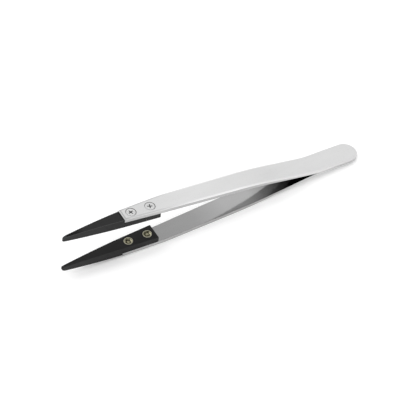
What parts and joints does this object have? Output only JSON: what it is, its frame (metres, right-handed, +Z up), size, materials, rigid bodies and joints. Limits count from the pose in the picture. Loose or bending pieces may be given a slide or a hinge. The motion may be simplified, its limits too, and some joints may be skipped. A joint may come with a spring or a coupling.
{
  "type": "ceramic-tipped tweezers",
  "caption": "Spring steel tweezers with straight, tapered black ceramic tips screwed to the arms, for handling hot, static-sensitive or clean parts.",
  "frame": {"origin": "on the ground under the middle of the tweezers' bounding box, as they lie on the lower arm's straight grip", "axes": "+X towards the welded tail, -X towards the tips, Y across the arms, +Z up, the way the arms open"},
  "size_m": [0.1302, 0.0098, 0.022],
  "materials": {
    "steel": "satin, finely brushed along the arms",
    "ceramic": "ground satin black",
    "brass": "turned, slightly dull",
    "screw": "satin"
  },
  "bodies": {
    "lower_half": {"lower_arm": "steel", "lower_tip": "ceramic", "lower_insert_front": "brass", "lower_insert_rear": "brass", "lower_screw_front": "screw", "lower_screw_rear": "screw"},
    "upper_half": {"upper_arm": "steel", "upper_tip": "ceramic", "upper_insert_front": "brass", "upper_insert_rear": "brass", "upper_screw_front": "screw", "upper_screw_rear": "screw"}
  },
  "joints": [
    {"name": "squeeze", "type": "hinge", "parent": "lower_half", "child": "upper_half", "pos_m": [0.03534, 0, 0.00609], "axis": [0, -1, 0], "range_deg": [0, 8], "stiffness_Nm_per_rad": 0.8}
  ]
}
